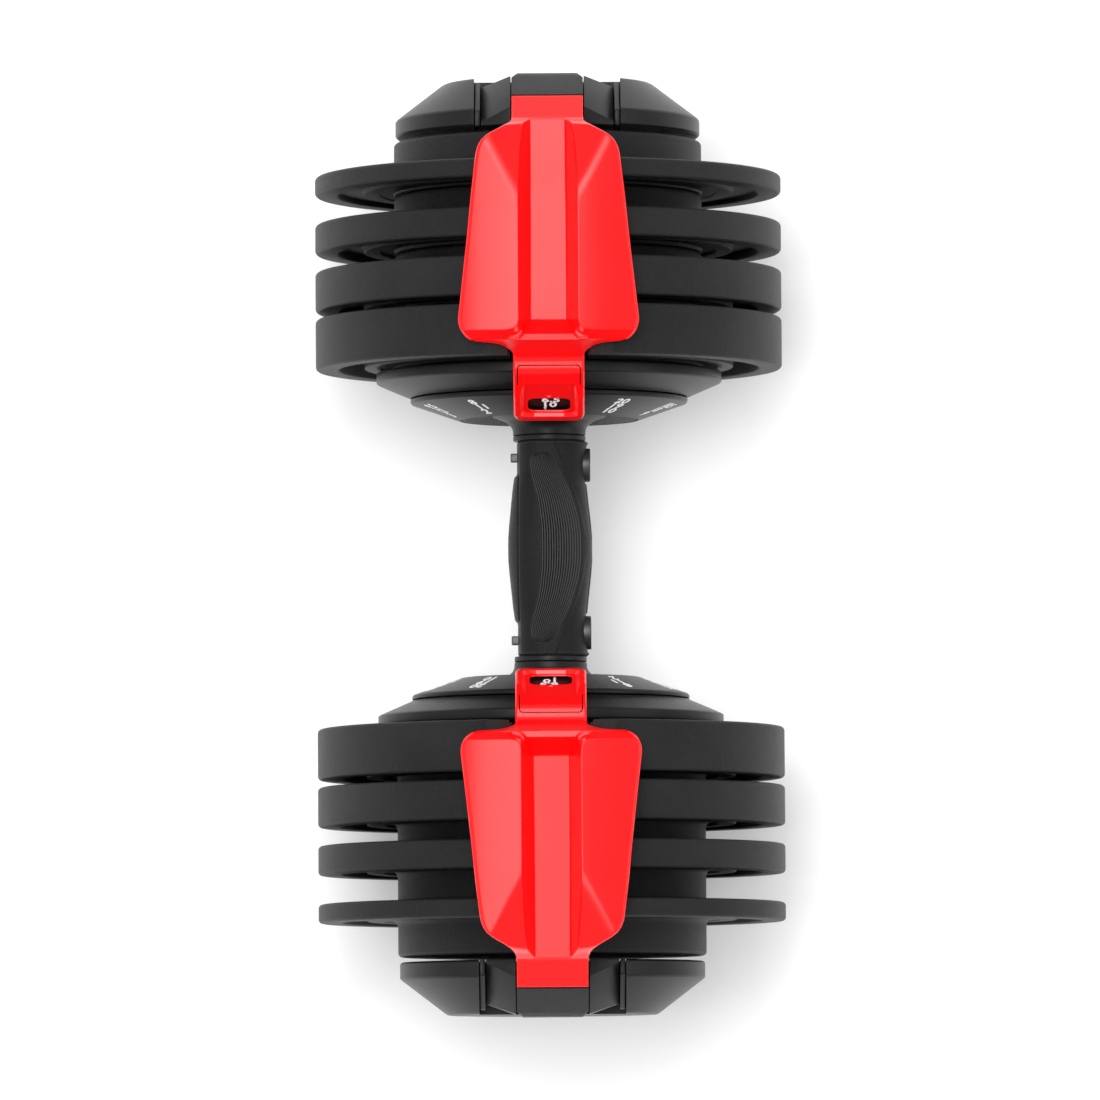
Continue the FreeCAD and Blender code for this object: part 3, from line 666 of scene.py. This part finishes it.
def bridge_mesh():
    # spine of the neck in the X-Z plane, corners softened
    sp = rounded([(51.0, 25.0)] + [(a, b, r) for (a, b), r in zip(SPINE[:-1], (0, 10, 4.5, 5.0, 4.5, 3.3))] + [SPINE[-1]], 8)[1:]
    pts = np.array(sp)
    d = np.r_[0, np.cumsum(np.linalg.norm(np.diff(pts, axis=0), axis=1))]
    s = np.unique(np.r_[np.arange(0, 62.0, 0.5), np.arange(0, d[-1] - 0.2, 0.4), d[-1]])
    s = s[s <= d[-1]]
    s = s[np.r_[True, np.diff(s) > 0.15]]
    nx_ = np.interp(s, d, pts[:, 0]); nz_ = np.interp(s, d, pts[:, 1])
    xs = np.r_[np.arange(82.45, 96.0, 0.25), np.arange(96.0, 142.0, 1.1), np.arange(142.0, 189.01, 0.4)]
    xs[-1] = 189.0
    inner = np.r_[np.linspace(0, 6.8, 7), np.linspace(7.0, 14.0, 36), np.linspace(14.15, 15.1, 9)]
    outer = np.r_[np.linspace(0.0, 0.86, 30)[1:], 0.86 + 0.14 * np.sin(np.linspace(0, math.pi / 2, 14))[1:]]
    cols = len(inner) + len(outer)

    def halfw(x):
        return np.interp(x, OUT[:, 0], OUT[:, 1])

    def quarter(e, R):
        return np.where(e < R, R - np.sqrt(np.maximum(R * R - (R - np.minimum(e, R)) ** 2, 0)), 0)

    def height(x, y):
        """Top surface over wings, channel and strap for x past the neck, y positive."""
        w = float(halfw(x))
        u = np.maximum(y - 12.6, 0)
        pad = 111.15 - 0.065 * u - 0.0032 * u * u
        strap = 85.9 - (x - 177.1) * (1.77 if x > 177.1 else 6.0)
        # steep band between the outline and the pad at the handle side, its inner corner rounded
        R, cx, cy = 4.0, 90.2, 16.6
        band = pad - 9.2 + (x - 81.7) * 2.2
        dist = np.hypot(x - cx, y - cy)
        corner = np.maximum(111.15 - (dist - R) * 2.6, 104.95)
        a = smin(pad, np.where((x < cx) & (y < cy), smin(corner, np.maximum(band, 104.95), 0.5), band), 0.6)
        # facet that falls away to the far outer corner, and the slope down to the end
        dd = (x - 149.3) * 0.569 - (y - 13.0) * 0.823
        a = smin(a, 111.2 - 0.60 * dd, 3.4)
        a = smin(a, 87.0 + (177.2 - x) * 4.6, 4.0) if x < 177.1 else a
        e = np.maximum(w - y, 0)
        if w > 15.3:
            a = np.where(y > 15.0, a - quarter(e, min(1.5, (w - 15.1) * 1.2)), a)
        # sunk channel between the pads
        floor_ = 86.9 - 0.007 * (x - 92.0)
        wall = 86.9 + (y - 7.6) * 4.9
        ramp = 102.3 - (x - 84.8) * 2.2
        c = smax(floor_ + 0 * y, wall, 1.1)
        c = smax(c, np.minimum(ramp, 102.6) + 0 * y, 0.9)
        z = smin(a, c, float(np.interp(x, [146, 162], [0.6, 1.8])))
        # bright bevel across the handle side of the channel, narrowing away from the handle
        edge = 12.8 - 1.04 * (x - 82.3)
        lip = 102.0 + (x - 82.3) * 0.10 + np.maximum(y - edge, 0) * 2.4 + max(x - 85.0, 0) * 40.0
        z = smin(z, lip, 0.4)
        # strap down to the end cap
        z = smin(z, strap + 0 * y, 0.8)
        return z

    rows = []
    depth = np.interp(nz_, [39.6, 40.6, 44.4, 45.6, 70.0, 71.2], [0, 0, 1.0, 1.0, 1.0, 0])
    for k in range(len(s)):
        x, z = nx_[k], nz_[k]
        w = float(halfw(x)) if x > 76.9 else 15.1
        # rounded lower corners of the neck
        if z < 47.0:
            w = 15.1 - 3.7 * (1 - math.sqrt(max(1 - ((47.0 - z) / 11.6) ** 2, 0)))
        k0, k1 = max(k - 1, 0), min(k + 1, len(s) - 1)
        t = np.array([nx_[k1] - nx_[k0], nz_[k1] - nz_[k0]]); t /= np.linalg.norm(t)
        nrm = np.array([t[1], -t[0]])
        yy = np.r_[inner * min(1.0, w / 15.1), 15.1 * min(1.0, w / 15.1) + max(w - 15.1, 0) * outer]
        row = np.zeros((cols, 3))
        row[:, 1] = yy
        drop = quarter(np.maximum(w - yy, 0), 1.0)
        bottom = quarter(np.full(cols, max(z - 35.5, 0.0)), 0.9)
        drop = np.maximum(drop, bottom)
        row[:, 0] = x + nrm[0] * drop
        row[:, 2] = z + nrm[1] * drop
        rows.append(row)
    for x in xs:
        w = float(halfw(x))
        yy = np.r_[inner, 15.1 + (w - 15.1) * outer]
        row = np.zeros((cols, 3))
        row[:, 1] = yy
        row[:, 0] = x
        h = height(x, yy)
        if w <= 16.6:
            h = h - quarter(np.maximum(w - yy, 0), 1.0) * np.interp(w, [15.1, 16.6], [1, 0])
        row[:, 2] = h
        rows.append(row)
    top = np.array(rows)
    # lower side
    low = top.copy()
    nneck = len(s)
    under = np.array(rounded([(51, 25), (54.4, 35.5), (54.7, 38.3, 3), (56.7, 45.5, 6), (61.6, 58.8, 0.3), (62.9, 60.6, 0.3), (65.0, 60.6, 0.8), (71.4, 74.5, 1), (77.6, 74.5, 1), (79.4, 82.3)], 6)[1:])
    du = np.r_[0, np.cumsum(np.linalg.norm(np.diff(under, axis=0), axis=1))]
    # the two sides are matched corner by corner so that the wall stays even
    keys_t = [0.0]
    keys_u = [0.0]
    for (xa, za), (xb, zb) in (((54.0, 44.5), (56.7, 45.5)), ((60.6, 62.2), (61.9, 59.2)), ((70.4, 77.2), (71.4, 74.5)), ((77.2, 77.6), (77.6, 74.5))):
        keys_t.append(d[np.argmin(np.hypot(pts[:, 0] - xa, pts[:, 1] - za))])
        keys_u.append(du[np.argmin(np.hypot(under[:, 0] - xb, under[:, 1] - zb))])
    keys_t.append(d[-1]); keys_u.append(du[-1])
    for k in range(nneck):
        q = np.interp(s[k], keys_t, keys_u)
        low[k, :, 0] = np.interp(q, du, under[:, 0])
        low[k, :, 2] = np.interp(q, du, under[:, 1])
    for k in range(nneck, len(rows)):
        x = rows[k][0, 0]
        zi = 82.3 if x < 176.6 else 62.2
        low[k, :, 2] = np.where(top[k, :, 1] <= 15.15, zi, 101.7)
        low[k, :, 2] = np.minimum(low[k, :, 2], top[k, :, 2] - 0.5)
        if x < 86.1:
            low[k, :, 0] = np.interp(x, [82.45, 86.1], [80.1, 86.1])
        if 176.6 <= x < 178.0:
            low[k, :, 0] = np.maximum(low[k, :, 0], 176.8)
    # skirt of the wings towards the handle, beyond the neck's width
    for k in range(nneck):
        wide = top[k, :, 1] > 15.15
        if wide.any():
            low[k, wide, 0] = top[k, wide, 0] + 1.4
            low[k, wide, 2] = np.minimum(top[k, wide, 2] + 2.0, 101.7)
    for k in range(nneck, len(rows)):
        x = rows[k][0, 0]
        wide = top[k, :, 1] > 15.15
        if x < 86.1 and wide.any():
            low[k, wide, 0] = top[k, wide, 0] + np.interp(x, [82.45, 86.1], [1.4, 0.0])
    nr_, nc = top.shape[:2]

    def full(g):
        m = g[:, 1:, :][:, ::-1, :].copy()
        m[:, :, 1] *= -1
        return np.concatenate([m, g], axis=1)

    T, L = full(top), full(low)
    R_, C_ = T.shape[:2]
    verts = np.concatenate([T.reshape(-1, 3), L.reshape(-1, 3)])
    off = R_ * C_
    faces = []
    for i in range(R_ - 1):
        for j in range(C_ - 1):
            a, b, c, d_ = i * C_ + j, i * C_ + j + 1, (i + 1) * C_ + j + 1, (i + 1) * C_ + j
            faces.append((a, b, c, d_))
            faces.append((off + a, off + d_, off + c, off + b))
    for i in range(R_ - 1):
        for j in (0, C_ - 1):
            a, b = i * C_ + j, (i + 1) * C_ + j
            faces.append((a, b, off + b, off + a))
    for j in range(C_ - 1):
        for i in (0, R_ - 1):
            a, b = i * C_ + j, i * C_ + j + 1
            faces.append((a, b, off + b, off + a))
    return mesh_from("bridge", verts, faces)


bridge = bridge_mesh()
# sunk window face: a shallow pocket in the neck, its rim sloping, and the hole at its foot
def loft(name, a, b):
    n = len(a)
    faces = [tuple(range(n)), tuple(range(2 * n - 1, n - 1, -1))] + [(i, (i + 1) % n, n + (i + 1) % n, n + i) for i in range(n)]
    return mesh_from(name, list(a) + list(b), faces)


def plane_at(y, z, off):
    """Point of the sunk plane, moved towards the handle by off."""
    x = 56.2 + (z - 45.0) * (66.6 - 56.2) / (71.5 - 45.0)
    return (x - off, y, z)


rim = rounded([(-10.8, 43.9, 2.6), (10.8, 43.9, 2.6), (10.8, 70.9, 2.2), (0.0, 71.7, 14.0), (-10.8, 70.9, 2.2)], 6)
wide = rounded([(-14.4, 42.0, 4.0), (14.4, 42.0, 4.0), (14.4, 75.2, 4.2), (0.0, 76.0, 18.0), (-14.4, 75.2, 4.2)], 6)
pocket = loft("pocket", [plane_at(y, z, 0.25) for y, z in rim], [plane_at(y, z, 5.2) for y, z in wide])
window = rounded([(-9.0, 45.3, 3.3), (-9.0, 57.3, 3.3), (9.0, 57.3, 3.3), (9.0, 45.3, 3.3)], 8)
win = prism("win", window, 0, 40, 70)
seam_out = rounded([(65.6, -13.5), (65.6, 13.5), (73.6, 13.5, 1.7), (73.6, -13.5, 1.7)], 8)
seam_in = rounded([(65.62, -13.05), (65.62, 13.05), (73.15, 13.05, 1.4), (73.15, -13.05, 1.4)], 8)
bridge = boolean(bridge, [pocket, win])
cover = boolean(bridge, [prism("in", seam_in, 2, 62.2, 90)], "INTERSECT")
bridge = boolean(bridge, [prism("out", seam_out, 2, 50, 90)])
mark = loft("mark", [plane_at(y, z, 0.37) for y, z in ((-0.9, 59.6), (0.9, 59.6), (0.0, 58.1))], [plane_at(y, z, -0.3) for y, z in ((-0.9, 59.6), (0.9, 59.6), (0.0, 58.1))])
# painted highlight: a thin pale pink strip on the sunk face at the window's foot
strip = prism("strip", [(54.1, 43.1), (55.5, 43.5), (55.5, 43.9), (54.1, 43.46)], 1, -6.3, 6.3)
co = np.zeros(len(bridge.vertices) * 3, np.float32)
bridge.vertices.foreach_get("co", co)
co = co.reshape(-1, 3)
satin = np.clip((co[:, 0] - 176.6) / 1.6, 0, 1)
satin = np.maximum(satin, 0.85 * np.clip((82.9 - co[:, 0]) / 0.5, 0, 1) * np.clip((np.abs(co[:, 1]) - 14.2) / 1.0, 0, 1) * np.clip((co[:, 2] - 76.0) / 4.0, 0, 1))
bridge.attributes.new("satin", "FLOAT", "POINT").data.foreach_set("value", satin.astype(np.float32))
for side, turn in (("right", False), ("left", True)):
    place("bridge_shell_" + side, bridge, "handle", M_RED, ("bridge_" + side,), turn=turn, sharp=40)
    place("cover_shell_" + side, cover, "handle", M_RED, ("window_cover_" + side,), turn=turn, sharp=40)
    # the pointer mark is print; the strip beside it is a painted highlight
    place("window_mark_and_highlight_" + side, merged_mesh("marks", [mark, strip]), "handle", M_PINK, (), turn=turn)

# tongues of the bridge behind the flange and in the end cap
tongues = merged_mesh("tg", [
    bevelled(prism("t1", [(76.3, 45.0), (79.6, 45.0), (79.6, 83.0), (76.3, 74.4)], 1, -13.9, 13.9), 0.3),
    bevelled(prism("t2", [(180.2, 45.0), (184.0, 45.0), (184.0, 64.0), (180.2, 64.0)], 1, -10.0, 10.0), 0.3)])
tongues = boolean(tongues, [cyl_mesh("h", 0, 2.2, 70, 85, (s * 8.0, 58.0), 32) for s in (1, -1)])
for side, turn in (("right", False), ("left", True)):
    place("bridge_tongues_" + side, tongues, "handle", M_RED, (), turn=turn)

# ------------------------------------------------------------------ grip
def grip_mesh():
    nx = 371
    X = np.linspace(-46, 46, nx)
    TH_ = np.radians(np.r_[np.arange(-33, 55, 1.4), np.arange(55, 147, 0.36), np.arange(147, 213, 1.4), np.arange(213, 305, 0.36), np.arange(305, 326.6, 1.4)])
    TH_ = TH_[TH_ < math.radians(326.4)]
    nt_ = len(TH_)
    XX, TT = np.meshgrid(X, TH_, indexing="ij")
    ax = np.abs(X)
    yl = np.interp(ax, [0, 2, 5, 10, 15, 20, 25, 30, 33, 46], [17.95, 17.95, 17.9, 17.5, 17.0, 16.5, 16.0, 15.3, 14.9, 14.9])
    yr = np.interp(ax, [0, 5, 10, 15, 20, 25, 28, 33, 46], [18.1, 18.1, 17.7, 17.2, 16.6, 16.1, 15.8, 16.0, 16.6])
    zz = np.interp(ax, [0, 8, 16, 26, 34, 46], [18.0, 17.7, 17.0, 16.2, 15.9, 15.9])
    c, s_ = np.cos(TT), np.sin(TT)          # c: +Y, s: +Z
    ry = np.where(c > 0, yl[:, None], yr[:, None])
    p = 2.25
    r = (np.abs(c / ry) ** p + np.abs(s_ / zz[:, None]) ** p) ** (-1 / p)
    y, z = r * c, r * s_
    # side pad on +Y: stands 0.9 proud between x = -31 and 31, with a step at its rim
    prof_end = 1 / (1 + np.exp(-(31.2 - np.abs(XX)) / 0.28))
    cut = -1.1 * (1 - prof_end) * np.clip((y - 12.6) / 2.6, 0, 1)
    # seam of the side pad, a fine groove where y is about 13.7
    seam_y = np.interp(ax, [0, 12, 24, 31], [13.9, 13.8, 13.6, 13.4])[:, None]
    groove = -0.55 * np.exp(-((y - seam_y) / 0.32) ** 2) * prof_end
    # crescent band of fine grooves on top (and the same below)
    left = np.interp(ax, [0, 9, 11, 17.2, 21, 23, 30, 33, 35.5, 38, 39.4, 40.3, 40.8], [3.7, 3.8, 4.0, 4.6, 5.2, 5.6, 7.5, 8.1, 8.3, 8.0, 7.4, 6.4, 5.0])
    right = np.interp(ax, [0, 5, 9, 13, 17.8, 21, 25.5, 28, 31, 33.5, 36, 38, 39.4, 40.3, 40.8], [-13.7, -13.55, -13.1, -12.4, -11.1, -10.0, -8.3, -7.0, -5.4, -4.2, -2.9, -1.8, -0.9, 0.2, 1.6])
    span = (left - right)[:, None]
    f = (left[:, None] - y) / span
    inside = 1 / (1 + np.exp(-f * span / 0.12)) / (1 + np.exp(-(1 - f) * span / 0.12)) / (1 + np.exp(-(40.7 - np.abs(XX)) / 0.1))
    ngro = 16
    wave = 0.5 - 0.5 * np.cos(2 * math.pi * f * ngro)
    ribs = (0.10 - 0.46 * (1 - wave) ** 1.6) * inside * (np.abs(s_) > 0.2)
    # shallow facet edges beside the band
    edge = np.interp(ax, [0, 12, 20, 30, 38, 44, 46], [-16.0, -14.4, -12.3, -8.6, -5.1, -2.6, -1.8])[:, None]
    facet = -0.34 / (1 + np.exp(-(edge - y) / 0.16)) * (np.abs(s_) > 0.15) / (1 + np.exp(-(np.abs(XX) - 6) / 2.0))
    end = -0.8 * (1 / (1 + np.exp(-(np.abs(XX) - 45.6) / 0.12)))
    dr = cut + groove + ribs + facet + end
    r2 = np.maximum(r + dr, 13.6)
    Y, Z = r2 * c, r2 * s_
    verts = np.stack([XX, Y, Z], -1).reshape(-1, 3)
    faces = []
    for i in range(nx - 1):
        for j in range(nt_):
            k = (j + 1) % nt_
            faces.append((i * nt_ + j, i * nt_ + k, (i + 1) * nt_ + k, (i + 1) * nt_ + j))
    base = len(verts)
    ring = np.stack([np.zeros(nt_), 13.42 * np.cos(TH_), 13.42 * np.sin(TH_)], -1)
    r0, r1 = ring.copy(), ring.copy()
    r0[:, 0] = -46; r1[:, 0] = 46
    verts = np.concatenate([verts, r0, r1])
    for j in range(nt_):
        k = (j + 1) % nt_
        faces.append((j, base + j, base + k, k))
        faces.append(((nx - 1) * nt_ + j, (nx - 1) * nt_ + k, base + nt_ + k, base + nt_ + j))
        faces.append((base + j, base + nt_ + j, base + nt_ + k, base + k))
    me = bpy.data.meshes.new("grip")
    me.from_pydata(verts.tolist(), [], faces)
    me.validate()
    bm = bmesh.new(); bm.from_mesh(me)
    bmesh.ops.recalc_face_normals(bm, faces=bm.faces)
    bm.to_mesh(me); bm.free()
    # painted highlight: the crests of the grooves are marked here and get a paler base colour in the grip material
    ridge = np.zeros(len(me.vertices), np.float32)
    ridge[:nx * nt_] = (np.clip(wave * 1.5 - 0.5, 0, 1) * inside * (np.abs(s_) > 0.2)).reshape(-1)
    at = me.attributes.new("ridge", "FLOAT", "POINT")
    at.data.foreach_set("value", ridge)
    cuts = []
    for sx in (1, -1):
        cuts.append(cyl_mesh("d", 1, 7.55, -30.0, -10.6, (sx * 36.0, 0), 72))
        cuts.append(cyl_mesh("d2", 1, 11.2, -19.5, -13.8, (sx * 36.0, 0), 72, r2=7.56))
        cuts.append(cyl_mesh("d3", 1, 3.0, 5.0, 25.0, (sx * 39.2, 0), 32))
    return boolean(me, cuts)


# painted highlight on the grip: a paler base colour on the groove crests (ridge attribute)
gnt = M_GRIP.node_tree
gp = gnt.nodes["Principled BSDF"]
gat = gnt.nodes.new("ShaderNodeAttribute"); gat.attribute_name = "ridge"
gmul = gnt.nodes.new("ShaderNodeMath"); gmul.operation = "MULTIPLY"; gmul.inputs[1].default_value = 0.9
gnt.links.new(gat.outputs["Fac"], gmul.inputs[0])
gmix = gnt.nodes.new("ShaderNodeMix"); gmix.data_type = "RGBA"
gnt.links.new(gmul.outputs[0], gmix.inputs["Factor"])
gnt.links.new(gp.inputs["Base Color"].links[0].from_socket, gmix.inputs["A"])
gmix.inputs["B"].default_value = (0.048, 0.048, 0.049, 1)
gnt.links.new(gmix.outputs["Result"], gp.inputs["Base Color"])
place("grip_sleeve", grip_mesh(), "handle", M_GRIP, ("grip",), sharp=50)

# ------------------------------------------------------------------ release buttons and their springs
btn = lathe("b", rounded([(-17.5, 0), (-17.5, 7.2, 0.5), (-13.6, 7.2, 0.3), (-13.6, 0)], 5), 96)
btn.transform(Matrix.Rotation(math.pi / 2, 4, "Z"))
btn.transform(Matrix.Translation((36.0, 0, 0)))
dish = lathe("b2", rounded([(-18.2, 0), (-18.2, 5.6), (-17.3, 4.6, 0.8), (-17.1, 0)], 5), 96)
dish.transform(Matrix.Rotation(math.pi / 2, 4, "Z"))
dish.transform(Matrix.Translation((36.0, 0, 0)))
btn = boolean(btn, [dish])
pin = bevelled(prism("p", [(37.3, -1.9), (41.1, -1.9), (41.1, 1.9), (37.3, 1.9)], 1, -14.5, 16.7), 0.55, 30, 3)
for side, flip in (("right", False), ("left", True)):
    o = place("push_button_" + side, btn, "button_" + side, M_BUTTON, ("release_button_" + side,), flip=flip)
    place("push_pin_" + side, pin, "button_" + side, M_BUTTON, (), flip=flip)


def coil_mesh():
    turns, r, rw = 5, 3.5, 0.42
    n, m = turns * 40, 12
    verts, faces = [], []
    for i in range(n + 1):
        t = i / n
        a = 2 * math.pi * turns * t
        y = -4.6 - (13.1 - 4.6) * t
        c = np.array([39.2 + r * math.cos(a), y, r * math.sin(a)])
        tan = np.array([-r * math.sin(a), -(13.1 - 4.6) / (2 * math.pi * turns), r * math.cos(a)]); tan /= np.linalg.norm(tan)
        u = np.array([math.cos(a), 0, math.sin(a)]); w = np.cross(tan, u)
        for k in range(m):
            b = 2 * math.pi * k / m
            verts.append(c + rw * (math.cos(b) * u + math.sin(b) * w))
    for i in range(n):
        for k in range(m):
            l = (k + 1) % m
            faces.append((i * m + k, i * m + l, (i + 1) * m + l, (i + 1) * m + k))
    faces.append(tuple(range(m - 1, -1, -1)))
    faces.append(tuple(n * m + k for k in range(m)))
    return mesh_from("coil", verts, faces)


coil = coil_mesh()
for side, flip in (("right", False), ("left", True)):
    o = place("button_coil_" + side, coil, "handle", M_WIRE, ("button_spring_" + side,), flip=flip)
    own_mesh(o)

# ------------------------------------------------------------------ CAD pieces that show as they are
for n, m in (("axle", M_STEEL), ("axle_screws", M_STEEL), ("bridge_screws", M_STEEL), ("thrust_washers", M_STEEL), ("handle_core", M_SHELL)):
    NODE[n].data.materials.clear(); NODE[n].data.materials.append(m)
for side in ("right", "left"):
    for n in ["selector_sleeve_" + side] + ["selector_disc_%s_%d" % (side, k) for k in range(1, 5)]:
        NODE[n].data.materials.clear(); NODE[n].data.materials.append(M_POM)
for o in NODE.values():
    for p in o.data.polygons:
        p.use_smooth = True
    o.data.set_sharp_from_angle(angle=math.radians(30))
